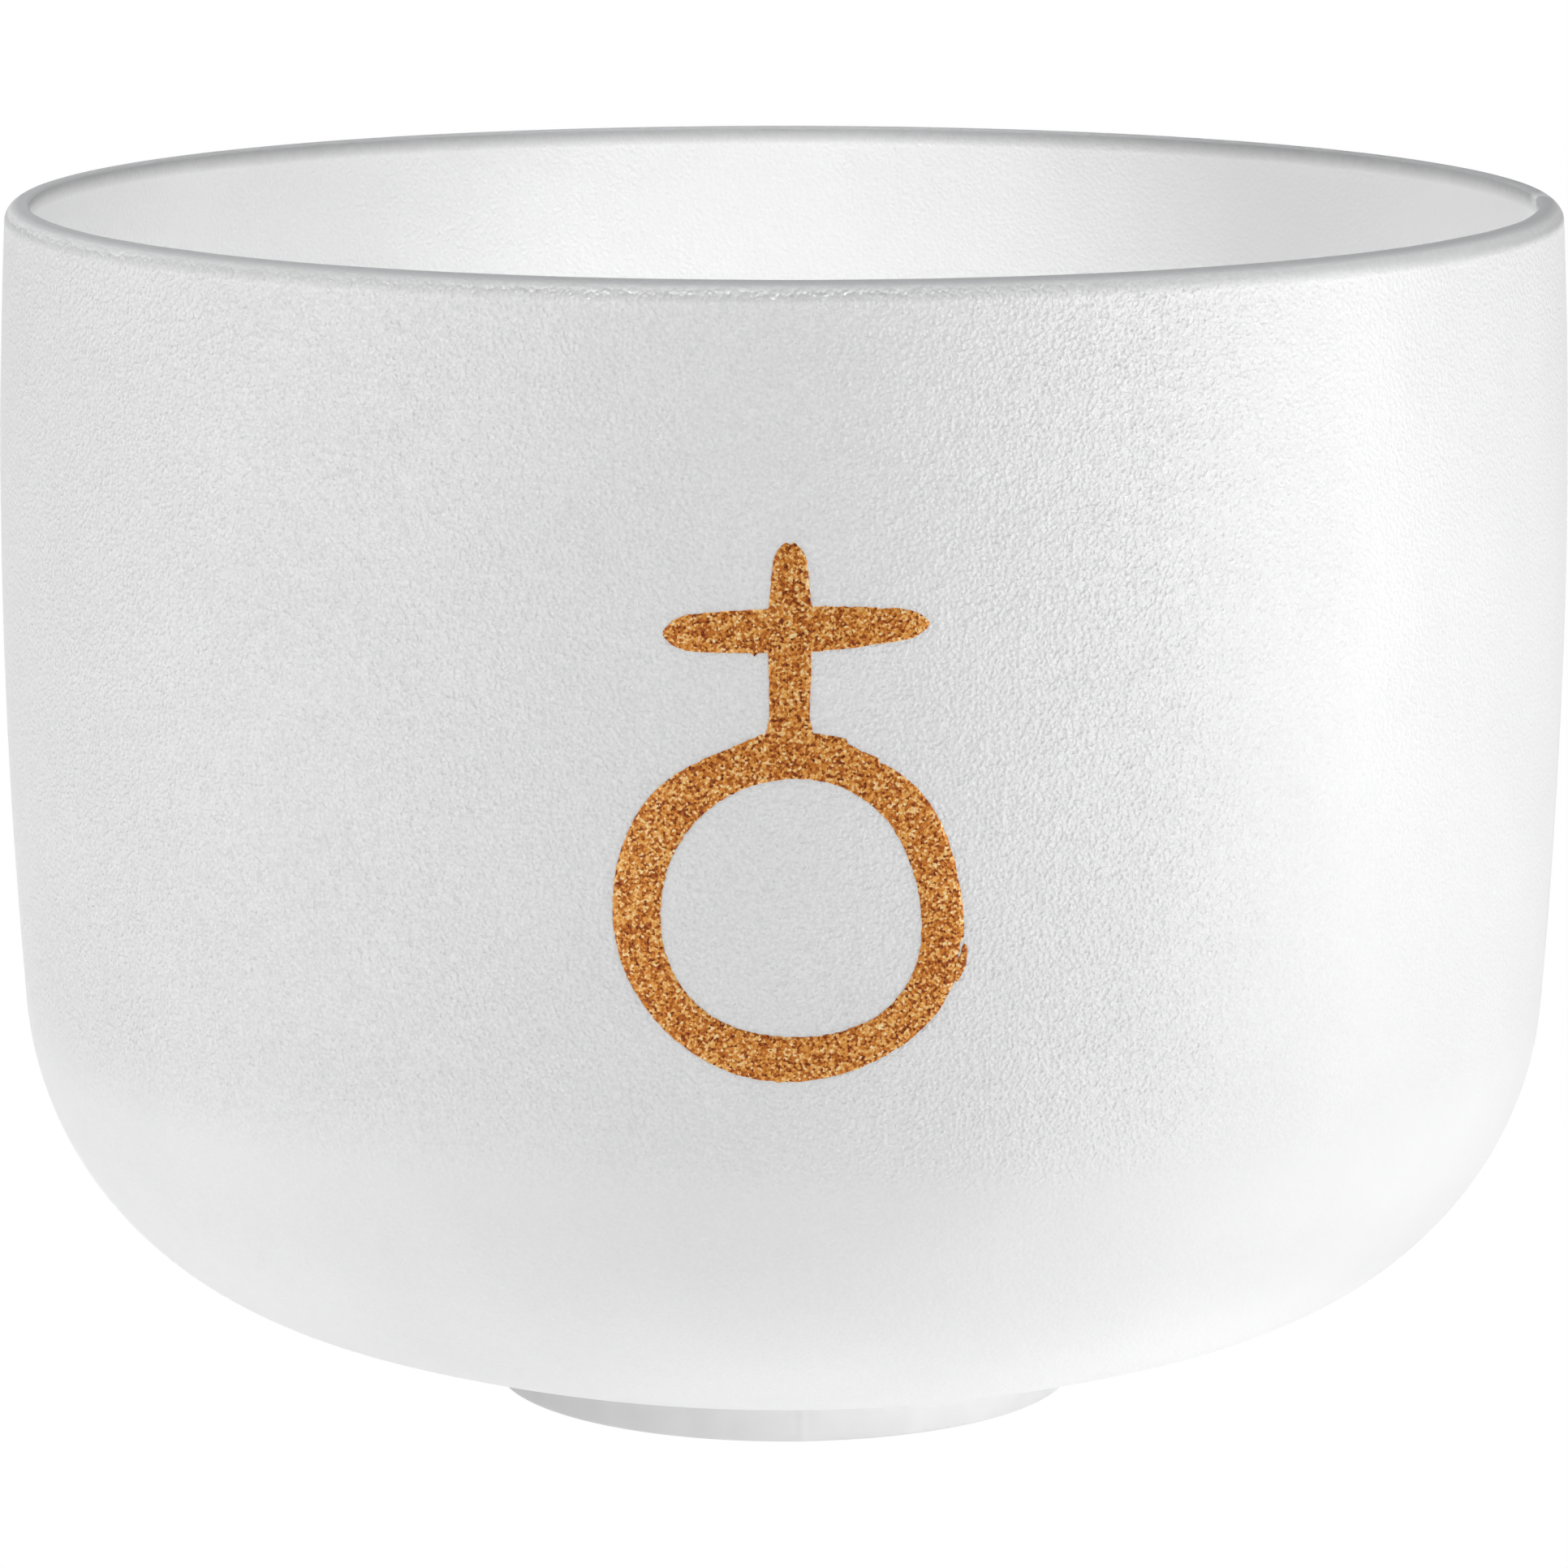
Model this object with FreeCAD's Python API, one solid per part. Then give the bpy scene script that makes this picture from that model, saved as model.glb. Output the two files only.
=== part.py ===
import FreeCAD, Part
import math
import os

# Frosted quartz singing bowl on its loose rubber ring, in millimetres.
#
# The bowl is a thick-walled shell of revolution. Its outside is made of three tangent arcs: a tall wall
# that swells very slightly below the rim, a knuckle, and a shallow crown that it stands on. The crown
# dips into a soft ring, which keeps the quartz off the table and lets it sound. An Earth sign, a circle
# with a cross above it, is painted on the front of the wall in two coats of paint.
#
# Frame: the origin is the centre of the ring's underside, on the table. +Z is up, along the bowl's axis.
# The sign faces -Y, with +X to the right of somebody who looks at it.

Vector = FreeCAD.Vector
AXIS = Vector(0, 0, 1)

# ---- Bowl ----
RIM_RADIUS = 127.0  # nominal 10 inch bowl, across the outside of the rim
RIM_HEIGHT = 197.8  # rim above the table, standing on the ring
WALL_SWELL = 1.5  # how far the wall's widest point stands out past the rim
SWELL_DEPTH = 56.0  # depth of that point below the rim
KNUCKLE_RADIUS = 56.3
CROWN_RADIUS = 261.5
CROWN_CLEARANCE = 1.65  # the bowl's lowest point above the table
WALL_THICKNESS = 4.0
KNUCKLE_THICKNESS = 4.8
BASE_THICKNESS = 5.5
LIP_OUTER_ROUND = 3.0
LIP_INNER_ROUND = 0.6

# ---- Rubber ring ----
RING_OUTER_RADIUS = 48.2
RING_INNER_RADIUS = 36.0
SEAT_GAP = 0.2  # between the ring's dished seat and the crown
RING_EDGE_ROUND = 0.6

# ---- Painted sign, drawn as seen from the front: X to the right, Z up ----
PAINT_THICKNESS = 0.15
PAINT_HEIGHTS = (70.0, 166.0)  # the band of wall that the sign lies in
PAINT_HALF_ANGLE = 20.0  # degrees either side of the front
CIRCLE_CENTRE = (0.9, 103.35)
CIRCLE_OUTER_RADIUS = 26.35
CIRCLE_INNER_RADIUS = 19.9
LOOP_POINTS = 24
# A hand-painted loop isn't quite round: (waves round the loop, their height, their turn in degrees)
OUTER_WOBBLE = ((1, 0.20, 135.0), (2, 0.40, 45.0), (3, 0.17, -130.0), (4, 0.45, 155.0), (5, 0.25, 105.0))
INNER_WOBBLE = ((1, 0.30, -25.0), (2, 0.20, 140.0), (3, 0.50, 108.0), (4, 0.28, 157.0))
# A stroke: its two tips and its half widths at even steps between them
CROSSBAR_TIPS = ((-18.0, 145.5), (21.6, 147.0))
CROSSBAR_HALF_WIDTHS = (2.35, 3.0, 3.2, 3.3, 3.35, 3.15, 2.7, 2.0)
UPRIGHT_TIPS = ((0.9, 159.5), (0.8, 122.0))
UPRIGHT_HALF_WIDTHS = (2.2, 2.8, 3.2, 3.2, 3.15, 3.1, 3.1, 6.0, 7.6)  # spreading where it meets the circle


def on_circle(centre, radius, angle):
    """The point at that angle, in radians, of a circle in the (radius, height) plane."""
    return (centre[0] + radius * math.cos(angle), centre[1] + radius * math.sin(angle))


def angle_of(centre, point):
    return math.atan2(point[1] - centre[1], point[0] - centre[0])


def vector(point):
    """A (radius, height) point as a vector in the XZ plane."""
    return Vector(point[0], 0, point[1])


def line(start, end):
    return Part.LineSegment(vector(start), vector(end)).toShape()


def arc(centre, radius, start, end):
    """The arc of that circle between the angles of two points, as an edge."""
    first, last = angle_of(centre, start), angle_of(centre, end)
    points = [on_circle(centre, radius, a) for a in (first, (first + last) / 2, last)]
    return Part.Arc(*(vector(p) for p in points))


def crossing(centre_a, reach_a, centre_b, reach_b):
    """Where two circles cross, on the side away from the axis."""
    dx, dz = centre_b[0] - centre_a[0], centre_b[1] - centre_a[1]
    apart = math.hypot(dx, dz)
    along = (reach_a**2 - reach_b**2 + apart**2) / (2 * apart)
    aside = math.sqrt(reach_a**2 - along**2)
    foot = (centre_a[0] + along * dx / apart, centre_a[1] + along * dz / apart)
    sides = [(foot[0] + s * aside * dz / apart, foot[1] - s * aside * dx / apart) for s in (1, -1)]
    return max(sides)


WALL_RADIUS = (SWELL_DEPTH**2 + WALL_SWELL**2) / (2 * WALL_SWELL)
WALL_CENTRE = (RIM_RADIUS + WALL_SWELL - WALL_RADIUS, RIM_HEIGHT - SWELL_DEPTH)
CROWN_CENTRE = (0.0, CROWN_CLEARANCE + CROWN_RADIUS)


class Surface:
    """One side of the shell: wall, knuckle and crown, each tangent to the next. Insets are from the outside."""

    def __init__(self, wall_inset=0.0, knuckle_inset=0.0, crown_inset=0.0):
        self.wall = WALL_RADIUS - wall_inset
        self.knuckle = KNUCKLE_RADIUS - knuckle_inset
        self.crown = CROWN_RADIUS - crown_inset
        self.knuckle_centre = crossing(
            WALL_CENTRE, self.wall - self.knuckle, CROWN_CENTRE, self.crown - self.knuckle
        )
        self.wall_foot = on_circle(WALL_CENTRE, self.wall, angle_of(WALL_CENTRE, self.knuckle_centre))
        self.crown_edge = on_circle(CROWN_CENTRE, self.crown, angle_of(CROWN_CENTRE, self.knuckle_centre))
        self.pole = (0.0, CROWN_CENTRE[1] - self.crown)

    def wall_at(self, height):
        """The wall's point at that height."""
        rise = height - WALL_CENTRE[1]
        return (WALL_CENTRE[0] + math.sqrt(self.wall**2 - rise**2), height)

    def wall_edge(self, top, bottom):
        """The wall between two of its points. As a spline, because its circle is wider than the bowl."""
        return arc(WALL_CENTRE, self.wall, top, bottom).toBSpline().toShape()

    def edges_below(self, top):
        """The edges from that point of the wall down to the axis."""
        return [
            self.wall_edge(top, self.wall_foot),
            arc(self.knuckle_centre, self.knuckle, self.wall_foot, self.crown_edge).toShape(),
            arc(CROWN_CENTRE, self.crown, self.crown_edge, self.pole).toShape(),
        ]


OUTSIDE = Surface()
INSIDE = Surface(WALL_THICKNESS, KNUCKLE_THICKNESS, BASE_THICKNESS)


def lip_round(surface, radius, outward):
    """The centre of a rounding of the lip, and where it meets the wall. outward is 1 outside and -1 inside."""
    height = RIM_HEIGHT - radius
    reach = surface.wall - outward * radius
    rise = height - WALL_CENTRE[1]
    centre = (WALL_CENTRE[0] + math.sqrt(reach**2 - rise**2), height)
    foot = on_circle(WALL_CENTRE, surface.wall, angle_of(WALL_CENTRE, centre))
    return centre, foot


def crystal_bowl():
    outer_centre, outer_foot = lip_round(OUTSIDE, LIP_OUTER_ROUND, 1)
    inner_centre, inner_foot = lip_round(INSIDE, LIP_INNER_ROUND, -1)
    outer_top = (outer_centre[0], RIM_HEIGHT)
    inner_top = (inner_centre[0], RIM_HEIGHT)
    inner_turn = on_circle(inner_centre, LIP_INNER_ROUND, math.radians(135))
    lip = [
        arc(outer_centre, LIP_OUTER_ROUND, outer_foot, outer_top).toShape(),
        line(outer_top, inner_top),
        Part.Arc(vector(inner_top), vector(inner_turn), vector(inner_foot)).toShape(),
    ]
    edges = OUTSIDE.edges_below(outer_foot) + lip + INSIDE.edges_below(inner_foot)
    edges.append(line(OUTSIDE.pole, INSIDE.pole))
    return revolved(edges)


def support_ring():
    """A flat rubber ring whose top is dished to fit the crown."""
    seat_radius = CROWN_RADIUS + SEAT_GAP

    def seat_at(radius):
        return (radius, CROWN_CENTRE[1] - math.sqrt(seat_radius**2 - radius**2))

    inner_top, outer_top = seat_at(RING_INNER_RADIUS), seat_at(RING_OUTER_RADIUS)
    inner_base, outer_base = (RING_INNER_RADIUS, 0.0), (RING_OUTER_RADIUS, 0.0)
    edges = [
        line(inner_base, outer_base),
        line(outer_base, outer_top),
        arc(CROWN_CENTRE, seat_radius, outer_top, inner_top).toShape(),
        line(inner_top, inner_base),
    ]
    ring = revolved(edges)
    rounds = [e for e in ring.Edges if isinstance(e.Curve, Part.Circle) and abs(e.Curve.Axis.z) > 0.99]
    rounds = [e for e in rounds if e.Length > RING_INNER_RADIUS]
    return ring.makeFillet(RING_EDGE_ROUND, rounds)


def revolved(edges, start=0.0, sweep=360.0):
    """A solid of revolution about the axis, from a closed outline in the XZ plane. Angles are from +X."""
    outline = Part.Wire(Part.__sortEdges__(edges))
    face = Part.Face(outline)
    face.rotate(Vector(0, 0, 0), AXIS, start)
    return face.revolve(Vector(0, 0, 0), AXIS, sweep)


def closed_curve(points):
    """A smooth closed face through points of the drawing."""
    curve = Part.BSplineCurve()
    curve.interpolate([vector(p) for p in points], PeriodicFlag=True)
    return Part.Face(Part.Wire(curve.toShape()))


def painted_loop(radius, wobble):
    points = []
    for step in range(LOOP_POINTS):
        angle = 2 * math.pi * step / LOOP_POINTS
        waves = sum(size * math.cos(count * angle + math.radians(turn)) for count, size, turn in wobble)
        points.append(on_circle(CIRCLE_CENTRE, radius + waves, angle))
    return closed_curve(points)


def painted_stroke(tips, half_widths):
    """A straight stroke that swells and narrows as a brush does, with rounded tips."""
    (x0, z0), (x1, z1) = tips
    length = math.hypot(x1 - x0, z1 - z0)
    along = ((x1 - x0) / length, (z1 - z0) / length)
    sides = ([], [])
    for step, half_width in enumerate(half_widths):
        share = (step + 0.5) / len(half_widths)
        middle = (x0 + share * (x1 - x0), z0 + share * (z1 - z0))
        for side, points in zip((1, -1), sides):
            points.append((middle[0] - side * half_width * along[1], middle[1] + side * half_width * along[0]))
    return closed_curve([tips[0], *sides[0], tips[1], *reversed(sides[1])])


def paint_film():
    """A thin skin on the front of the wall, which the sign is cut from."""
    outside = Surface(wall_inset=-PAINT_THICKNESS)
    bottom, top = PAINT_HEIGHTS
    skin = [
        OUTSIDE.wall_edge(OUTSIDE.wall_at(top), OUTSIDE.wall_at(bottom)),
        line(OUTSIDE.wall_at(bottom), outside.wall_at(bottom)),
        outside.wall_edge(outside.wall_at(top), outside.wall_at(bottom)),
        line(outside.wall_at(top), OUTSIDE.wall_at(top)),
    ]
    return revolved(skin, -90.0 - PAINT_HALF_ANGLE, 2 * PAINT_HALF_ANGLE)


def stencilled(film, drawing):
    """The film where the drawing covers it."""
    return film.common(drawing.extrude(Vector(0, -2 * RIM_RADIUS, 0)))


def painted_sign():
    """The circle's coat of paint, and the cross's coat, which stops where it meets the circle's."""
    film = paint_film()
    disc = painted_loop(CIRCLE_OUTER_RADIUS, OUTER_WOBBLE)
    hole = painted_loop(CIRCLE_INNER_RADIUS, INNER_WOBBLE)
    circle = stencilled(film, disc.cut(hole))
    upright = painted_stroke(UPRIGHT_TIPS, UPRIGHT_HALF_WIDTHS)
    crossbar = painted_stroke(CROSSBAR_TIPS, CROSSBAR_HALF_WIDTHS)
    drawing = upright.fuse(crossbar).removeSplitter().cut(disc)
    return circle, stencilled(film, drawing)


def main():
    os.makedirs("parts", exist_ok=True)
    circle, cross = painted_sign()
    nodes = {
        "crystal_bowl": crystal_bowl(),
        "support_ring": support_ring(),
        "painted_circle": circle,
        "painted_cross": cross,
    }
    for name, shape in nodes.items():
        solids = shape.Solids
        print(name, len(solids), "solid", "valid" if shape.isValid() else "INVALID", f"{shape.Volume:.1f} mm3")
        shape = solids[0] if len(solids) == 1 else Part.makeCompound(solids)
        shape.exportStep(f"parts/{name}.step")


main()
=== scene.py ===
import math

import bpy
import numpy as np
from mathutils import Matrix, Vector


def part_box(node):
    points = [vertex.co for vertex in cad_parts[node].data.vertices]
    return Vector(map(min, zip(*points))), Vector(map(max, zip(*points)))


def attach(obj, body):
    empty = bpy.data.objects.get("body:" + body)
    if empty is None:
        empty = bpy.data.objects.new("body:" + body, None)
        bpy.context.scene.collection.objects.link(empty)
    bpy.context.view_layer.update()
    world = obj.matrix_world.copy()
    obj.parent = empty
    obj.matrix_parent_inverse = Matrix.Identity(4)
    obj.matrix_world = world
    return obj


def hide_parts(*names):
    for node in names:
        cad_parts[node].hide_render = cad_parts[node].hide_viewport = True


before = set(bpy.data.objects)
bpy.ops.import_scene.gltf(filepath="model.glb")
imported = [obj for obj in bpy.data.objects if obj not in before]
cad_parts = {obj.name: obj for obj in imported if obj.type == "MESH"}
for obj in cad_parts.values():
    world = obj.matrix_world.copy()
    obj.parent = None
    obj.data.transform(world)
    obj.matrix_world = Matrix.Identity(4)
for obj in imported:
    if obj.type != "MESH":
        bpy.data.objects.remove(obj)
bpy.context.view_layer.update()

# Frosted quartz singing bowl on a rubber ring: the looks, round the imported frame. Metres, +Z up, the
# painted sign faces -Y. The bowl, the ring and the two coats of paint are built here as finer meshes, each
# in the place of its CAD node. The paint follows the same slightly uneven wall as the bowl.

MM = 0.001
RIM_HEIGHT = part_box("crystal_bowl")[1].z
WIDEST_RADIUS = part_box("crystal_bowl")[1].x
BOWL_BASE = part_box("crystal_bowl")[0].z
RING_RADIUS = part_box("support_ring")[1].x

# ---- Bowl, as in the CAD ----
WALL_SWELL = 1.5 * MM  # how far the widest point stands out past the rim
SWELL_DEPTH = 56.0 * MM  # how far it is below the rim
RIM_RADIUS = WIDEST_RADIUS - WALL_SWELL
KNUCKLE_RADIUS = 56.3 * MM
CROWN_RADIUS = 261.5 * MM
WALL_THICKNESS = 4.0 * MM
KNUCKLE_THICKNESS = 4.8 * MM
BASE_THICKNESS = 5.5 * MM
LIP_OUTER_ROUND = 3.0 * MM
LIP_INNER_ROUND = 0.6 * MM
EVEN_BELOW = (15.0 * MM, 60.0 * MM)  # the wall's unevenness fades out from the second height to the first
CHIP_AZIMUTH = math.radians(1.5)  # a chip in the lip's inner edge, from +X
CHIP_HALF_LENGTH = 4.2 * MM
CHIP_REACH = 1.9 * MM  # from the edge, over the lip and down the wall
CHIP_DEPTH = 1.1 * MM
CHIP_RIPPLES = (9, 0.10)  # how many along the chip, and their share of its depth
LIP_WAVES_REACH = 6.0 * MM  # from the lip's inner edge
# (waves round the bowl, their lean up the wall, their height in millimetres, their turn in radians)
WALL_WAVES = (
    (2, 0.0, 0.06, 0.7),
    (5, -6.0, 0.035, 0.0),
    (13, 9.0, 0.025, 1.0),
    (29, -23.0, 0.014, 0.0),
    (53, 41.0, 0.008, 2.0),
)
# (waves round the lip, their height in millimetres, their turn in radians)
LIP_WAVES = ((7, 0.10, 2.0), (17, 0.06, 0.0), (41, 0.04, 1.0))
OUTSIDE_COUNTS = (26, 32, 54, 12)  # points along the crown, the knuckle, the wall and the lip's round
INSIDE_COUNTS = (20, 24, 42, 6)
WALL_CROWDING = 1.5
BOWL_SEGMENTS = 342
CHIP_SEGMENTS = 78  # the part of the round beside the chip is finer
CHIP_FINE_HALF_ANGLE = math.radians(5.5)

# ---- Ring, as in the CAD ----
RING_BORE = 36.0 * MM
SEAT_GAP = 0.2 * MM
RING_EDGE_ROUND = 0.6 * MM
SEAM_AZIMUTH = math.radians(-86.5)  # the mould's parting line, just right of the front
SEAM_HALF_WIDTH = 0.7 * MM
SEAM_HEIGHT = 0.12 * MM
INNER_EDGE_POINTS = 6
OUTER_EDGE_POINTS = 8
SEAT_POINTS = 14
SIDE_POINTS = 7
RING_SEGMENTS = 150
SEAM_SEGMENTS = 16
SEAM_FINE_HALF_ANGLE = math.radians(2.2)

# ---- Painted sign, in millimetres as seen from the front: X to the right, Z up ----
# It is as in the CAD, with the brush's finer marks added.
PAINT_THICKNESS = 0.15
PAINT_SUNK = 0.12  # the film's underside lies in the frosting
PAINT_TAPER = 0.45  # over which the film thins out to its edge
PAINT_EDGE_SHARE = 0.35  # of the thickness that is left at the edge
PAINT_GRID = 0.27
CUT_MARGIN = 0.1  # share of a grid step that the outline keeps off its ends
EDGE_LAYERS = ((0.9, 0.09), (0.4, 0.06))  # ragged edges: sizes of the bumps and their heights
RELIEF_LAYERS = ((0.45, 0.03), (3.0, 0.02))  # the film's own relief
CIRCLE_CENTRE = (0.9, 103.35)
CIRCLE_OUTER_RADIUS = 26.35
CIRCLE_INNER_RADIUS = 19.9
OUTER_WOBBLE = ((1, 0.20, 135.0), (2, 0.40, 45.0), (3, 0.17, -130.0), (4, 0.45, 155.0), (5, 0.25, 105.0))
INNER_WOBBLE = ((1, 0.30, -25.0), (2, 0.20, 140.0), (3, 0.50, 108.0), (4, 0.28, 157.0))
CROSSBAR_TIPS = ((-18.0, 145.5), (21.6, 147.0))
CROSSBAR_HALF_WIDTHS = (2.35, 3.0, 3.2, 3.3, 3.35, 3.15, 2.7, 2.0)
UPRIGHT_TIPS = ((0.9, 159.5), (0.8, 122.0))
UPRIGHT_HALF_WIDTHS = (2.2, 2.8, 3.2, 3.2, 3.15, 3.1, 3.1, 4.3, 6.5)
COATS_OVERLAP = 0.9  # how far the cross's paint runs over the circle's
# The end of the circle's stroke: a sliver of bare quartz, and the brush's tail beyond it
BRUSH_GAP = ((26.9, 98.6), (26.5, 96.8), (25.4, 94.7))
BRUSH_GAP_HALF_WIDTH = 0.42
BRUSH_TAIL = (
    (27.05, 98.0),
    (27.45, 96.7),
    (27.3, 94.9),
    (26.7, 93.4),
    (25.9, 92.2),
    (25.6, 94.2),
    (26.3, 96.2),
)
# Beside the foot of the cross: a step at its right and a sloping shoulder at its left
BRUSH_STEP = (
    (1.0, 131.0),
    (4.1, 130.65),
    (9.15, 129.9),
    (9.35, 129.1),
    (11.35, 128.0),
    (14.25, 126.35),
    (9.0, 125.5),
    (1.0, 126.0),
)
BRUSH_SHOULDER = (
    (0.0, 130.7),
    (-3.2, 130.45),
    (-5.55, 129.5),
    (-9.4, 127.75),
    (-12.8, 126.1),
    (-9.0, 124.5),
    (0.0, 126.0),
)
TIP_NOTCH = ((0.7, 159.9), (1.0, 158.9))
TIP_NOTCH_HALF_WIDTH = 0.8
PAINT_SPLASH = ((-4.3, 142.55), (-4.2, 142.75))
PAINT_SPLASH_HALF_WIDTH = 0.3
# The stretch of wall that each coat's grid covers: its lower left and upper right corners
CIRCLE_BOX = ((-27.5, 75.0), (29.0, 132.0))
CROSS_BOX = ((-19.5, 125.0), (23.0, 161.0))

# ---- Grain of the materials ----
CLOUD_SIZE = 22.0 * MM
GRAIN_SIZE = 0.5 * MM
GRANULE_SIZE = 0.8 * MM
FROSTING_HEIGHT = 0.28 * MM
SPECKLE_SHARE = 0.38  # of the speckle against the clouds
SMOOTH_SHARE = 0.3  # of the frosting's relief that is left where it is smoothest
SMOOTHER_SIDE = (55.0 * MM, 90.0 * MM)  # it grows smoother over this stretch of X
SMOOTHER_INSIDE = (2.4 * MM, 0.8 * MM)  # and inwards, from the second to the first depth inside the rim
GROUND_AND_SHADE_BAND = (3.2 * MM, 0.6 * MM)  # depths below the rim where the grey band begins and is full: the ground lip's own greyer tone, deepened by painted shade
BAND_RAGGED = 0.2 * MM
LIP_TOP_SHADE = (0.7 * MM, 0.1 * MM)  # depths where the painted shade on the lip's upward-facing top begins and is full, darkest there
PAINT_GRAIN = 0.4 * MM

# ---- Camera ----
CAMERA_DISTANCE = 1.2302  # from the bowl's axis
CAMERA_HEIGHT = 0.32226
CAMERA_PITCH = math.radians(10.25)  # down
LENS = 172.75  # in millimetres, as the sensor's width is
SENSOR_WIDTH = 36
FAR_CLIP = 50

# ---- Light: azimuth from the camera's side towards +X and elevation, in degrees, and power in watts ----
LIGHT_DISTANCE = 1.3
AIM = (0.0, 0.0, 0.11)
SOFTBOX_SIZE = 0.34
SOFTBOXES = ((-45, 62, 6.0), (0, 89, 13.0), (-140, 32, 4.0))
CARD_DISTANCE = 0.45
CARD_WIDTH = 0.1185
CARD_HEIGHT = 0.36
CARDS = ((45, 0.55), (75, 0.36), (-30, 0.17), (-60, 0.28))  # standing round the bowl: azimuth and power
FLOOR_CLEARANCE = 2.0 * MM  # under the cards and the strips
FOOT_DISTANCE = 0.3
FOOT_WIDTH = 0.12
FOOT_HEIGHT = 0.02
FOOT_SPREAD = math.radians(15)
FOOT_STRIPS = ((20, 0.003), (60, 0.0032))  # low glowing strips that light the ring under the bowl
MOUTH_SPOTS = ((0, 50, 34.5), (40, 50, 14.0), (70, 50, 16.0))  # shine over the near lip onto the inner wall
SPOT_AIM_RADIUS = 0.118
SPOT_AIM_HEIGHT = 0.155
SPOT_LIFT = 0.05
SPOT_ANGLE = math.radians(7)
SPOT_BLEND = 0.8
SPOT_SOFTNESS = 0.03
SKY_LIGHT = 0.0  # the white surround is there for the camera only
FLOOR_GLOW = 0.73
FLOOR_SHADES = ((0.05, -0.42, 0.7), (0.11, -0.8, 0.3))  # dimmer patches: X, Y and the share of glow left
SHADE_SIZE = (0.12, 0.3)  # how far out a patch is dimmest, and where it ends
FLOOR_REFLECTANCE = 0.2  # low, so that the bowl's shading comes from the lamps
FLOOR_HALF_WIDTH = 6.0

LATTICE = 256  # points each way in the random relief, which then repeats


# ---------------------------------------------------------------- small shared sums
def smooth_step(value, low, high):
    """0 below low, 1 above high, with a soft start and end between them."""
    share = np.clip((value - low) / (high - low), 0.0, 1.0)
    return share * share * (3 - 2 * share)


def random_relief(across, up, cell, seed):
    """Smooth random heights between -1 and 1, with a lattice point every cell."""
    lattice = np.random.default_rng(seed).uniform(-1, 1, (LATTICE, LATTICE))
    u, v = across / cell, up / cell
    i, j = np.floor(u).astype(int), np.floor(v).astype(int)
    share_u, share_v = smooth_step(u - i, 0, 1), smooth_step(v - j, 0, 1)
    left, right = i % LATTICE, (i + 1) % LATTICE
    below, above = j % LATTICE, (j + 1) % LATTICE
    low = lattice[left, below] * (1 - share_u) + lattice[right, below] * share_u
    high = lattice[left, above] * (1 - share_u) + lattice[right, above] * share_u
    return low * (1 - share_v) + high * share_v


def layered_relief(across, up, layers, seed):
    """Random relief in layers, each with the size of its bumps and their height."""
    parts = (
        height * random_relief(across, up, cell, seed + number)
        for number, (cell, height) in enumerate(layers)
    )
    return sum(parts)


def angles_round(count, dense_at, dense_half_width, dense_count):
    """Angles once round, closer together near one of them."""
    dense = dense_at + np.linspace(-dense_half_width, dense_half_width, dense_count, endpoint=False)
    rest_from = dense_at + dense_half_width
    rest_to = dense_at + 2 * math.pi - dense_half_width
    rest = np.linspace(rest_from, rest_to, count, endpoint=False)
    return np.concatenate((dense, rest))


# ---------------------------------------------------------------- profile of the bowl
def crossing(centre_a, reach_a, centre_b, reach_b):
    """Where two circles of the (radius, height) plane cross, on the side away from the axis."""
    dx, dz = centre_b[0] - centre_a[0], centre_b[1] - centre_a[1]
    apart = math.hypot(dx, dz)
    along = (reach_a**2 - reach_b**2 + apart**2) / (2 * apart)
    aside = math.sqrt(reach_a**2 - along**2)
    foot = (centre_a[0] + along * dx / apart, centre_a[1] + along * dz / apart)
    sides = [(foot[0] + s * aside * dz / apart, foot[1] - s * aside * dx / apart) for s in (1, -1)]
    return max(sides)


def angle_of(centre, point):
    """The direction of the point from the centre."""
    return math.atan2(point[1] - centre[1], point[0] - centre[0])


def arc(centre, radius, first, last, count, crowding=1.0):
    """count points of an arc, without its last. crowding over 1 moves them towards the last."""
    share = 1 - (1 - np.linspace(0, 1, count, endpoint=False)) ** crowding
    angles = first + (last - first) * share
    return np.column_stack((centre[0] + radius * np.cos(angles), centre[1] + radius * np.sin(angles)))


WALL_RADIUS = (SWELL_DEPTH**2 + WALL_SWELL**2) / (2 * WALL_SWELL)
WALL_CENTRE = (WIDEST_RADIUS - WALL_RADIUS, RIM_HEIGHT - SWELL_DEPTH)
CROWN_CENTRE = (0.0, BOWL_BASE + CROWN_RADIUS)


def wall_radius_at(height):
    """The outside radius of the true, even wall."""
    return WALL_CENTRE[0] + np.sqrt(WALL_RADIUS**2 - (height - WALL_CENTRE[1]) ** 2)


def shell_side(wall_inset, knuckle_inset, crown_inset, lip_round, outward, counts):
    """One side of the shell, from the axis up to where the flat of the lip begins."""
    wall, knuckle = WALL_RADIUS - wall_inset, KNUCKLE_RADIUS - knuckle_inset
    crown = CROWN_RADIUS - crown_inset
    turn = crossing(WALL_CENTRE, wall - knuckle, CROWN_CENTRE, crown - knuckle)
    low, high = angle_of(CROWN_CENTRE, turn), angle_of(WALL_CENTRE, turn)
    lip_height = RIM_HEIGHT - lip_round
    reach = wall - outward * lip_round
    lip_centre = (WALL_CENTRE[0] + math.sqrt(reach**2 - (lip_height - WALL_CENTRE[1]) ** 2), lip_height)
    lip_start = angle_of(WALL_CENTRE, lip_centre)
    crown_points, knuckle_points, wall_points, lip_points = counts
    round_start = lip_start if outward > 0 else lip_start + math.pi
    return np.vstack(
        (
            arc(CROWN_CENTRE, crown, -math.pi / 2, low, crown_points),
            arc(turn, knuckle, low, high, knuckle_points),
            arc(WALL_CENTRE, wall, high, lip_start, wall_points, crowding=WALL_CROWDING),
            arc(lip_centre, lip_round, round_start, math.pi / 2, lip_points),
            [(lip_centre[0], RIM_HEIGHT)],
        )
    )


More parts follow.
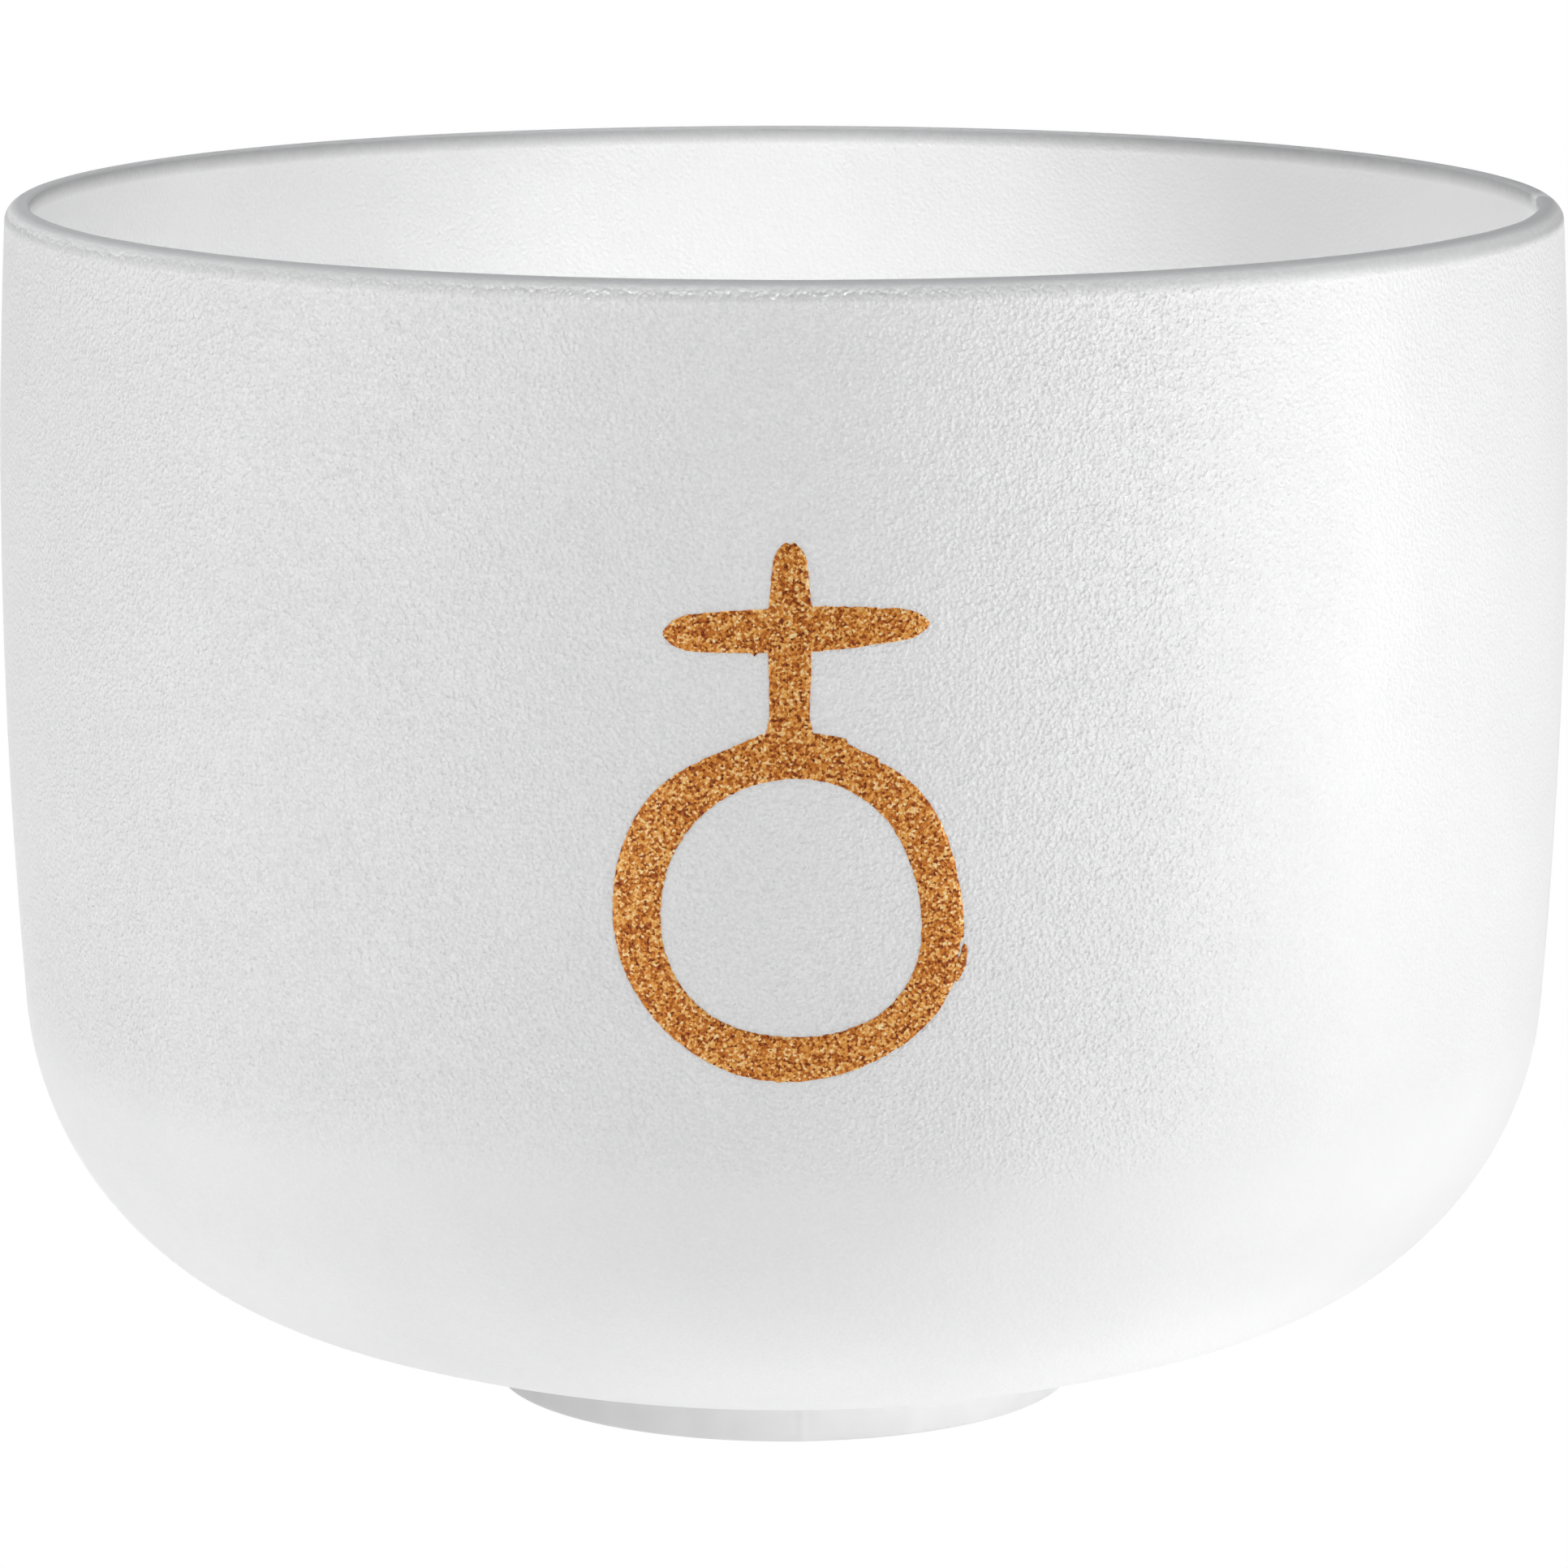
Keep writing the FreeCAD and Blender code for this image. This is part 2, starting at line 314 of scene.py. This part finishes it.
def bowl_profile():
    """Up the outside from the pole and down the inside, with how many points are outside."""
    outside = shell_side(0, 0, 0, LIP_OUTER_ROUND, 1, OUTSIDE_COUNTS)
    insets = (WALL_THICKNESS, KNUCKLE_THICKNESS, BASE_THICKNESS)
    inside = shell_side(*insets, LIP_INNER_ROUND, -1, INSIDE_COUNTS)
    return np.vstack((outside, inside[::-1])), len(outside)


# ---------------------------------------------------------------- the hand-made surface
def waves(theta, height):
    """How far the blown wall stands out of true, round the bowl and up it."""
    up = height / RIM_HEIGHT
    uneven = sum(size * np.cos(count * theta + lean * up + turn) for count, lean, size, turn in WALL_WAVES)
    return MM * uneven * smooth_step(height, *EVEN_BELOW)


def lip_waves(theta):
    """The ground lip's own unevenness along its inner edge."""
    return MM * sum(size * np.cos(count * theta + turn) for count, size, turn in LIP_WAVES)


# ---------------------------------------------------------------- meshes
def new_object(name, vertices, faces, material):
    """A smooth-shaded mesh object, linked into the scene."""
    mesh = bpy.data.meshes.new(name)
    mesh.from_pydata(np.asarray(vertices).tolist(), [], faces)
    mesh.validate()
    mesh.materials.append(material)
    mesh.shade_smooth()
    piece = bpy.data.objects.new(name, mesh)
    bpy.context.scene.collection.objects.link(piece)
    return piece


def round_the_axis(radius, height, theta):
    """Places in space from radii, heights and angles round the bowl's axis."""
    return np.stack((radius * np.cos(theta), radius * np.sin(theta), height), axis=-1)


def wall_faces(rows, segments, closed):
    """Quads between rows of vertices that each go once round. closed joins the last row to the first."""
    around = np.arange(segments)
    after = np.roll(around, -1)
    faces = []
    for row in range(rows if closed else rows - 1):
        low, high = row * segments, (row + 1) % rows * segments
        faces += np.column_stack((low + around, low + after, high + after, high + around)).tolist()
    return faces


def lathed_shell(name, grid, bottom, top, material):
    """A body of revolution from rows of vertices, closed with a pole at each end."""
    rows, segments = grid.shape[:2]
    faces = wall_faces(rows, segments, closed=False)
    around = np.arange(segments)
    after = np.roll(around, -1)
    first_pole, last_pole = rows * segments, rows * segments + 1
    last_row = (rows - 1) * segments
    faces += np.column_stack((np.full(segments, first_pole), after, around)).tolist()
    faces += np.column_stack((np.full(segments, last_pole), last_row + around, last_row + after)).tolist()
    vertices = np.vstack((grid.reshape(-1, 3), [(0, 0, bottom), (0, 0, top)]))
    return new_object(name, vertices, faces, material)


def frosted_bowl(material):
    """The thick-walled shell, out of true as a blown wall is, with a chip in the lip's inner edge."""
    profile, outside_count = bowl_profile()
    theta = angles_round(BOWL_SEGMENTS, CHIP_AZIMUTH, CHIP_FINE_HALF_ANGLE, CHIP_SEGMENTS)
    radius, height = profile[1:-1, :1], profile[1:-1, 1:]
    shift = waves(theta, height)
    edge = (profile[outside_count][0], RIM_HEIGHT)
    from_edge = np.hypot(radius - edge[0], height - edge[1])
    near_edge = 1 - smooth_step(from_edge, 0, LIP_WAVES_REACH)
    inner = (np.arange(1, len(profile) - 1) >= outside_count)[:, None]
    shift = shift + np.where(inner, near_edge, 0) * lip_waves(theta)
    along = (theta - CHIP_AZIMUTH) * edge[0] / CHIP_HALF_LENGTH
    ripple_count, ripple_share = CHIP_RIPPLES
    fading = 1 - smooth_step(from_edge, 0, CHIP_REACH)
    ripples = 1 + ripple_share * np.cos(ripple_count * along) * fading
    bite = np.clip(1 - along**2, 0, None) * np.clip(1 - (from_edge / CHIP_REACH) ** 2, 0, None)
    bite = CHIP_DEPTH * bite * ripples / math.sqrt(2)
    grid = round_the_axis(radius + shift + bite, height - bite + 0 * theta, theta)
    return lathed_shell("frosted_bowl", grid, profile[0, 1], profile[-1, 1], material)


def rubber_ring(material):
    """The ring: flat base, straight side, and a top dished to the bowl's crown, all with softened edges."""
    seat = CROWN_RADIUS + SEAT_GAP
    small = RING_EDGE_ROUND
    inner, outer = RING_BORE + small, RING_RADIUS - small

    def under_seat(radius):
        return (radius, CROWN_CENTRE[1] - math.sqrt((seat + small) ** 2 - radius**2))

    inner_top, outer_top = under_seat(inner), under_seat(outer)
    inner_turn, outer_turn = (angle_of(top, CROWN_CENTRE) for top in (inner_top, outer_top))
    seat_ends = (angle_of(CROWN_CENTRE, outer_top), angle_of(CROWN_CENTRE, inner_top))
    side = np.linspace((RING_RADIUS, small), (RING_RADIUS, outer_top[1]), SIDE_POINTS)[1:-1]
    profile = np.vstack(
        (
            arc((inner, small), small, math.pi, 1.5 * math.pi, INNER_EDGE_POINTS),
            arc((outer, small), small, -math.pi / 2, 0, OUTER_EDGE_POINTS),
            side,
            arc(outer_top, small, 0, outer_turn, OUTER_EDGE_POINTS),
            arc(CROWN_CENTRE, seat, *seat_ends, SEAT_POINTS),
            arc(inner_top, small, inner_turn, math.pi, INNER_EDGE_POINTS),
        )
    )
    theta = angles_round(RING_SEGMENTS, SEAM_AZIMUTH, SEAM_FINE_HALF_ANGLE, SEAM_SEGMENTS)
    radius, height = profile[:, :1], profile[:, 1:]
    apart = (theta - SEAM_AZIMUTH) * RING_RADIUS / SEAM_HALF_WIDTH
    on_side = smooth_step(radius, RING_RADIUS - small, RING_RADIUS)
    seam = SEAM_HEIGHT * np.exp(-(apart**2)) * on_side
    grid = round_the_axis(radius + seam, height + 0 * theta, theta)
    faces = wall_faces(len(profile), len(theta), closed=True)
    return new_object("rubber_ring", grid.reshape(-1, 3), faces, material)


# ---------------------------------------------------------------- painted sign
def closed_spline(points, steps=8):
    """A smooth closed outline through the points."""
    here = np.asarray(points, float)
    before, after, beyond = np.roll(here, 1, 0), np.roll(here, -1, 0), np.roll(here, -2, 0)
    share = np.linspace(0, 1, steps, endpoint=False)[None, :, None]
    before, here, after, beyond = (p[:, None, :] for p in (before, here, after, beyond))
    curve = (
        here
        + 0.5 * share * (after - before)
        + share**2 * (before - 2.5 * here + 2 * after - 0.5 * beyond)
        + share**3 * (1.5 * here - 0.5 * before - 1.5 * after + 0.5 * beyond)
    )
    return curve.reshape(-1, 2)


def beyond_outline(x, z, outline):
    """How far each point lies outside a closed outline: negative inside."""
    nearest = np.full(x.shape, np.inf)
    inside = np.zeros(x.shape, bool)
    for (x0, z0), (x1, z1) in zip(outline, np.roll(outline, -1, 0)):
        dx, dz = x1 - x0, z1 - z0
        share = np.clip(((x - x0) * dx + (z - z0) * dz) / max(dx * dx + dz * dz, 1e-12), 0, 1)
        nearest = np.minimum(nearest, np.hypot(x - x0 - share * dx, z - z0 - share * dz))
        if z0 != z1:
            crosses = ((z0 > z) != (z1 > z)) & (x < x0 + (z - z0) * dx / dz)
            inside ^= crosses
    return np.where(inside, -nearest, nearest)


def beyond_line(x, z, line, half_width):
    """How far each point lies outside a thin line through the points, which is pointed at its last."""
    found = np.full(x.shape, np.inf)
    spans = len(line) - 1
    for span, ((x0, z0), (x1, z1)) in enumerate(zip(line, line[1:])):
        dx, dz = x1 - x0, z1 - z0
        share = np.clip(((x - x0) * dx + (z - z0) * dz) / (dx * dx + dz * dz), 0, 1)
        width = half_width * (1 - (span + share) / spans)
        found = np.minimum(found, np.hypot(x - x0 - share * dx, z - z0 - share * dz) - width)
    return found


def beyond_loop(x, z, radius, wobble):
    """How far each point lies outside the uneven loop of that radius round the circle's middle."""
    away_x, away_z = x - CIRCLE_CENTRE[0], z - CIRCLE_CENTRE[1]
    angle = np.arctan2(away_z, away_x)
    uneven = sum(size * np.cos(count * angle + math.radians(turn)) for count, size, turn in wobble)
    return np.hypot(away_x, away_z) - radius - uneven


def beyond_stroke(x, z, tips, half_widths):
    """How far each point lies outside a straight stroke that swells and narrows as a brush does."""
    first, last = np.array(tips)
    along = (last - first) / np.linalg.norm(last - first)
    aside = np.array((-along[1], along[0]))
    shares = (np.arange(len(half_widths)) + 0.5) / len(half_widths)
    middles = first + shares[:, None] * (last - first)
    swell = np.array(half_widths)[:, None] * aside
    points = np.vstack(([first], middles + swell, [last], (middles - swell)[::-1]))
    return beyond_outline(x, z, closed_spline(points))


def circle_paint(x, z):
    """Negative where the circle's coat lies."""
    ragged = layered_relief(x, z, EDGE_LAYERS, seed=11)
    outer = beyond_loop(x, z, CIRCLE_OUTER_RADIUS, OUTER_WOBBLE)
    for extra in (BRUSH_STEP, BRUSH_SHOULDER):
        outer = np.minimum(outer, beyond_outline(x, z, closed_spline(extra, steps=3)))
    outer = np.maximum(outer, -beyond_line(x, z, BRUSH_GAP, BRUSH_GAP_HALF_WIDTH))
    outer = np.minimum(outer, beyond_outline(x, z, closed_spline(BRUSH_TAIL, steps=4)))
    inner = beyond_loop(x, z, CIRCLE_INNER_RADIUS, INNER_WOBBLE)
    return np.maximum(outer, -inner) + ragged


def cross_paint(x, z):
    """Negative where the cross's coat lies. It stops a little way over the circle's."""
    ragged = layered_relief(x, z, EDGE_LAYERS, seed=21)
    upright = beyond_stroke(x, z, UPRIGHT_TIPS, UPRIGHT_HALF_WIDTHS)
    upright = np.maximum(upright, -beyond_line(x, z, TIP_NOTCH, TIP_NOTCH_HALF_WIDTH))
    crossbar = beyond_stroke(x, z, CROSSBAR_TIPS, CROSSBAR_HALF_WIDTHS)
    circle = beyond_loop(x, z, CIRCLE_OUTER_RADIUS, OUTER_WOBBLE)
    splash = beyond_line(x, z, PAINT_SPLASH, PAINT_SPLASH_HALF_WIDTH)
    strokes = np.minimum(np.minimum(upright, crossbar), splash)
    return np.maximum(strokes + ragged, -circle - COATS_OVERLAP)


def cut_cells(beyond):
    """Marching squares: the grid places of the vertices, the polygons and the boundary edges."""
    number, places = {}, []

    def vertex(key, place):
        if key not in number:
            number[key] = len(places)
            places.append(place)
        return number[key]

    polygons, boundary = [], []
    painted = beyond < 0
    busy = painted[:-1, :-1] | painted[1:, :-1] | painted[1:, 1:] | painted[:-1, 1:]
    for i, j in np.argwhere(busy).tolist():
        corners = ((i, j), (i + 1, j), (i + 1, j + 1), (i, j + 1))
        polygon, crossings = [], []
        for start, end in zip(corners, corners[1:] + corners[:1]):
            if painted[start]:
                polygon.append(vertex(start, start))
            if painted[start] != painted[end]:
                low, high = sorted((start, end))
                share = beyond[low] / (beyond[low] - beyond[high])
                share = min(max(share, CUT_MARGIN), 1 - CUT_MARGIN)
                place = (low[0] + share * (high[0] - low[0]), low[1] + share * (high[1] - low[1]))
                polygon.append(vertex((low, high), place))
                crossings.append((len(polygon) - 1, bool(painted[start])))
        polygons.append(polygon)
        for at, leaving in crossings:
            if leaving:
                boundary.append((polygon[at], polygon[(at + 1) % len(polygon)]))
    return np.array(places), polygons, boundary


def paint_film(name, paint, box, material, seed):
    """A closed thin film on the wall, where paint(x, z) is negative."""
    (x_low, z_low), (x_high, z_high) = box
    xs, zs = np.arange(x_low, x_high, PAINT_GRID), np.arange(z_low, z_high, PAINT_GRID)
    beyond = paint(*np.meshgrid(xs, zs, indexing="ij"))
    places, polygons, boundary = cut_cells(beyond)
    x, z = x_low + PAINT_GRID * places[:, 0], z_low + PAINT_GRID * places[:, 1]
    depth = np.clip(-paint(x, z), 0, None)
    grain = layered_relief(x, z, RELIEF_LAYERS, seed)
    full = PAINT_EDGE_SHARE + (1 - PAINT_EDGE_SHARE) * smooth_step(depth, 0, PAINT_TAPER)
    thickness = PAINT_THICKNESS * full + grain
    theta = -np.arccos(x * MM / wall_radius_at(z * MM))
    wall = wall_radius_at(z * MM) + waves(theta, z * MM)
    layers = [round_the_axis(wall + lift * MM, z * MM, theta) for lift in (thickness, -PAINT_SUNK)]
    count = len(places)
    faces = list(polygons)
    faces += [[v + count for v in reversed(polygon)] for polygon in polygons]
    faces += [[end, start, start + count, end + count] for start, end in boundary]
    return new_object(name, np.vstack(layers), faces, material)


# ---------------------------------------------------------------- materials
class Finish:
    """A Principled material whose sockets are fed by procedural nodes in the piece's own coordinates."""

    def __init__(self, name, **constants):
        self.material = bpy.data.materials.new(name)
        self.material.use_nodes = True
        self.tree = self.material.node_tree
        self.shader = self.tree.nodes["Principled BSDF"]
        for socket, value in constants.items():
            self.shader.inputs[socket.replace("_", " ")].default_value = value
        self.place = self.add("TexCoord", {}).outputs["Object"]

    def add(self, kind, inputs, **settings):
        node = self.tree.nodes.new("ShaderNode" + kind)
        for setting, value in settings.items():
            setattr(node, setting, value)
        for socket, value in inputs.items():
            self.feed(node.inputs[socket], value)
        return node

    def feed(self, socket, value):
        if isinstance(value, bpy.types.NodeSocket):
            self.tree.links.new(value, socket)
        else:
            socket.default_value = value

    def noise(self, size, detail=2.0):
        """Smooth noise with bumps about size metres across."""
        node = self.add("TexNoise", {"Vector": self.place, "Scale": 1 / size, "Detail": detail})
        return node.outputs["Fac"]

    def cells(self, size, output="Distance"):
        node = self.add("TexVoronoi", {"Vector": self.place, "Scale": 1 / size})
        return node.outputs[output]

    def remap(self, value, from_low, from_high, to_low, to_high):
        sockets = {
            "Value": value,
            "From Min": from_low,
            "From Max": from_high,
            "To Min": to_low,
            "To Max": to_high,
        }
        return self.add("MapRange", sockets).outputs["Result"]

    def sum(self, first, second, operation="ADD"):
        return self.add("Math", {0: first, 1: second}, operation=operation).outputs["Value"]

    def colours(self, factor, *stops):
        """A colour ramp through (place, colour) stops."""
        node = self.add("ValToRGB", {"Fac": factor})
        elements = node.color_ramp.elements
        while len(elements) < len(stops):
            elements.new(0.5)
        for element, (place, colour) in zip(elements, stops):
            element.position = place
            element.color = (*colour, 1)
        return node.outputs["Color"]

    def mix(self, factor, first, second):
        return self.add("MixRGB", {"Fac": factor, "Color1": first, "Color2": second}).outputs["Color"]

    def bump(self, height, distance, below=None, strength=1.0):
        """A bump of that height in metres, over the one below."""
        sockets = {"Height": height, "Distance": distance, "Strength": strength}
        if below is not None:
            sockets["Normal"] = below
        return self.add("Bump", sockets).outputs["Normal"]

    def set(self, **sockets):
        for socket, value in sockets.items():
            self.feed(self.shader.inputs[socket.replace("_", " ")], value)


def frosted_quartz():
    """Sandblasted fused quartz: milky, softly clouded, with fine granules and a ground grey lip, whose grey
    is deepened by painted shade that is darkest on its upward-facing top.
    """
    quartz = Finish(
        "frosted_quartz",
        IOR=1.8,
        Subsurface_Weight=0.35,
        Subsurface_Radius=(1.0, 1.0, 1.0),
        Subsurface_Scale=3 * MM,
    )
    axes = quartz.add("SeparateXYZ", {"Vector": quartz.place}).outputs
    clouds = quartz.remap(quartz.noise(CLOUD_SIZE, 3.0), 0, 1, 0.3, 0.7)
    grain = quartz.noise(GRAIN_SIZE, 1.5)
    granules = quartz.cells(GRANULE_SIZE)
    level = quartz.add("CombineXYZ", {"X": axes["X"], "Y": axes["Y"], "Z": 0.0}).outputs["Vector"]
    radius = quartz.add("VectorMath", {0: level}, operation="LENGTH").outputs["Value"]
    inner, outer = (RIM_RADIUS - depth for depth in SMOOTHER_INSIDE)
    outside = quartz.remap(radius, inner, outer, SMOOTH_SHARE, 1.0)
    coarse = quartz.sum(quartz.remap(axes["X"], *SMOOTHER_SIDE, 1.0, SMOOTH_SHARE), outside, "MULTIPLY")
    speckle = quartz.sum(quartz.remap(grain, 0.3, 0.7, -1, 1), coarse, "MULTIPLY")
    milky = quartz.colours(
        quartz.sum(clouds, quartz.sum(speckle, SPECKLE_SHARE, "MULTIPLY")),
        (0.0, (0.785, 0.785, 0.79)),
        (0.5, (0.85, 0.85, 0.852)),
        (1.0, (0.915, 0.915, 0.915)),
    )
    uneven = quartz.remap(quartz.noise(1.6 * MM), 0, 1, -BAND_RAGGED, BAND_RAGGED)
    ragged = quartz.sum(axes["Z"], uneven)
    # The grey band round the lip is partly the ground lip's own tone and partly painted shade, and the flat
    # top of the lip is darkened further with painted shade.
    near_lip = quartz.remap(ragged, *(RIM_HEIGHT - depth for depth in GROUND_AND_SHADE_BAND), 0, 1)
    painted_top_shade = quartz.remap(axes["Z"], *(RIM_HEIGHT - depth for depth in LIP_TOP_SHADE), 0, 1)
    # The band's greys: painted shade over the ground lip's own grey, darkest on the upward-facing top.
    ground = quartz.colours(painted_top_shade, (0.0, (0.36, 0.363, 0.367)), (1.0, (0.23, 0.233, 0.237)))
    frosting = quartz.sum(coarse, quartz.remap(near_lip, 0, 1, 1.0, SMOOTH_SHARE), "MULTIPLY")
    pebbles = quartz.bump(granules, FROSTING_HEIGHT, strength=frosting)
    gloss = quartz.remap(grain, 0.3, 0.7, 0.28, 0.4)
    quartz.set(
        Base_Color=quartz.mix(near_lip, milky, ground),
        Roughness=quartz.sum(gloss, quartz.remap(near_lip, 0.5, 1, 0, 0.5)),
        Normal=quartz.bump(grain, FROSTING_HEIGHT, pebbles, strength=frosting),
    )
    return quartz.material


def glitter_paint():
    """Copper glitter paint: packed grains of every shade from rust to pale gold."""
    paint = Finish("sign_paint", Metallic=0.35, IOR=1.4)
    split = paint.add("SeparateColor", {"Color": paint.cells(PAINT_GRAIN, "Color")})
    shade = paint.sum(split.outputs["Red"], paint.noise(PAINT_GRAIN, 1.0))
    tint = paint.colours(
        paint.remap(shade, 0.45, 1.6, 0, 1),
        (0.0, (0.17, 0.022, 0.003)),
        (0.25, (0.46, 0.11, 0.010)),
        (0.5, (0.70, 0.25, 0.035)),
        (0.75, (0.90, 0.46, 0.11)),
        (1.0, (1.0, 0.80, 0.45)),
    )
    paint.set(
        Base_Color=tint,
        Roughness=paint.remap(split.outputs["Green"], 0, 1, 0.3, 0.6),
        Normal=paint.bump(paint.cells(PAINT_GRAIN), 0.05 * MM),
    )
    return paint.material


def white_rubber():
    """Matt white rubber, very slightly mottled."""
    rubber = Finish("white_rubber", IOR=1.45)
    cloud = rubber.noise(6 * MM)
    rubber.set(
        Base_Color=rubber.colours(cloud, (0.3, (0.66, 0.66, 0.66)), (0.7, (0.70, 0.70, 0.70))),
        Roughness=rubber.remap(rubber.noise(1.5 * MM), 0.3, 0.7, 0.5, 0.62),
        Normal=rubber.bump(rubber.noise(0.5 * MM), 0.01 * MM),
    )
    return rubber.material


# ---------------------------------------------------------------- stage, light and camera
def seen_by_camera(tree, seen, lighting):
    """A shader that is one thing to the camera's own rays and another to the rays that light the object."""
    path = tree.nodes.new("ShaderNodeLightPath")
    mix = tree.nodes.new("ShaderNodeMixShader")
    tree.links.new(path.outputs["Is Camera Ray"], mix.inputs["Fac"])
    tree.links.new(lighting, mix.inputs[1])
    tree.links.new(seen, mix.inputs[2])
    return mix.outputs["Shader"]


def glow(tree, strength, kind="ShaderNodeEmission"):
    """A plain white glow."""
    node = tree.nodes.new(kind)
    node.inputs["Color"].default_value = (1, 1, 1, 1)
    node.inputs["Strength"].default_value = strength
    return node.outputs[0]


def lit_floor():
    """A white light table, dimmer where the front of the frosting mirrors it faintly."""
    grey = (FLOOR_REFLECTANCE, FLOOR_REFLECTANCE, FLOOR_REFLECTANCE, 1)
    table = Finish("light_table", Base_Color=grey, Roughness=0.6, Emission_Color=(1, 1, 1, 1))
    strength = FLOOR_GLOW
    for x, y, share in FLOOR_SHADES:
        away = table.add("VectorMath", {0: table.place, 1: (x, y, 0)}, operation="DISTANCE").outputs["Value"]
        strength = table.sum(table.remap(away, *SHADE_SIZE, share, 1.0), strength, "MULTIPLY")
    table.set(Emission_Strength=strength)
    output = table.tree.nodes["Material Output"]
    surface = seen_by_camera(table.tree, glow(table.tree, 1.0), table.shader.outputs["BSDF"])
    table.tree.links.new(surface, output.inputs["Surface"])
    half = FLOOR_HALF_WIDTH
    corners = [(-half, -half, 0), (half, -half, 0), (half, half, 0), (-half, half, 0)]
    floor = new_object("floor", corners, [(0, 1, 2, 3)], table.material)


def white_surround():
    """White beyond the floor, as the camera sees it."""
    world = bpy.data.worlds.new("studio")
    world.use_nodes = True
    tree = world.node_tree
    seen, lighting = (glow(tree, strength, "ShaderNodeBackground") for strength in (1.0, SKY_LIGHT))
    output = tree.nodes["World Output"]
    tree.links.new(seen_by_camera(tree, seen, lighting), output.inputs["Surface"])
    bpy.context.scene.world = world


def lamp(data, azimuth, elevation, distance, height, target):
    """Hangs a lamp on the half sphere round the bowl and turns it to the target."""
    item = bpy.data.objects.new(data.name, data)
    turn, tilt = math.radians(azimuth), math.radians(elevation)
    level = distance * math.cos(tilt)
    place = Vector((level * math.sin(turn), -level * math.cos(turn), height + distance * math.sin(tilt)))
    item.location = place
    item.rotation_euler = (Vector(target) - place).to_track_quat("-Z", "Y").to_euler()
    item.visible_camera = False
    bpy.context.scene.collection.objects.link(item)


def panel(name, width, height, power):
    """A rectangular lamp."""
    data = bpy.data.lights.new(name, "AREA")
    data.shape = "RECTANGLE"
    data.size, data.size_y = width, height
    data.energy = power
    return data


def studio_light():
    """Softboxes above, glowing cards and low strips round the bowl, and spots into its mouth."""
    for number, (azimuth, elevation, power) in enumerate(SOFTBOXES, 1):
        data = panel(f"softbox_{number}", SOFTBOX_SIZE, SOFTBOX_SIZE, power)
        lamp(data, azimuth, elevation, LIGHT_DISTANCE, AIM[2], AIM)
    middle = CARD_HEIGHT / 2 + FLOOR_CLEARANCE
    for number, (azimuth, power) in enumerate(CARDS, 1):
        data = panel(f"card_{number}", CARD_WIDTH, CARD_HEIGHT, power)
        lamp(data, azimuth, 0, CARD_DISTANCE, middle, (0, 0, middle))
    middle = FOOT_HEIGHT / 2 + FLOOR_CLEARANCE
    for number, (azimuth, power) in enumerate(FOOT_STRIPS, 1):
        data = panel(f"foot_strip_{number}", FOOT_WIDTH, FOOT_HEIGHT, power)
        data.spread = FOOT_SPREAD
        lamp(data, azimuth, 0, FOOT_DISTANCE, middle, (0, 0, middle))
    for number, (azimuth, elevation, power) in enumerate(MOUTH_SPOTS, 1):
        data = bpy.data.lights.new(f"mouth_spot_{number}", "SPOT")
        data.energy = power
        data.spot_size = SPOT_ANGLE
        data.spot_blend = SPOT_BLEND
        data.shadow_soft_size = SPOT_SOFTNESS
        turn = math.radians(azimuth)
        across, back = -SPOT_AIM_RADIUS * math.sin(turn), SPOT_AIM_RADIUS * math.cos(turn)
        target = (across, back, SPOT_AIM_HEIGHT)
        lamp(data, azimuth, elevation, LIGHT_DISTANCE, AIM[2] + SPOT_LIFT, target)


def camera():
    data = bpy.data.cameras.new("camera")
    data.lens = LENS
    data.sensor_width = SENSOR_WIDTH
    data.clip_end = FAR_CLIP
    item = bpy.data.objects.new("camera", data)
    item.location = (0, -CAMERA_DISTANCE, CAMERA_HEIGHT)
    item.rotation_euler = (math.pi / 2 - CAMERA_PITCH, 0, 0)
    bpy.context.scene.collection.objects.link(item)
    bpy.context.scene.camera = item
    bpy.context.scene.view_settings.view_transform = "Standard"


# ---------------------------------------------------------------- the object
def build():
    """The four pieces, each riding its body in the place of its CAD node."""
    paint = glitter_paint()
    bowl = frosted_bowl(frosted_quartz())
    ring = rubber_ring(white_rubber())
    circle = paint_film("sign_circle", circle_paint, CIRCLE_BOX, paint, seed=31)
    cross = paint_film("sign_cross", cross_paint, CROSS_BOX, paint, seed=41)
    pieces = (
        (bowl, "bowl", "crystal_bowl", "frosted_quartz"),
        (ring, "ring", "support_ring", "white_rubber"),
        (circle, "bowl", "painted_circle", "sign_paint"),
        (cross, "bowl", "painted_cross", "sign_paint"),
    )
    for piece, body, node, slot in pieces:
        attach(piece, body)
        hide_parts(node)


camera()
build()
lit_floor()
white_surround()
studio_light()
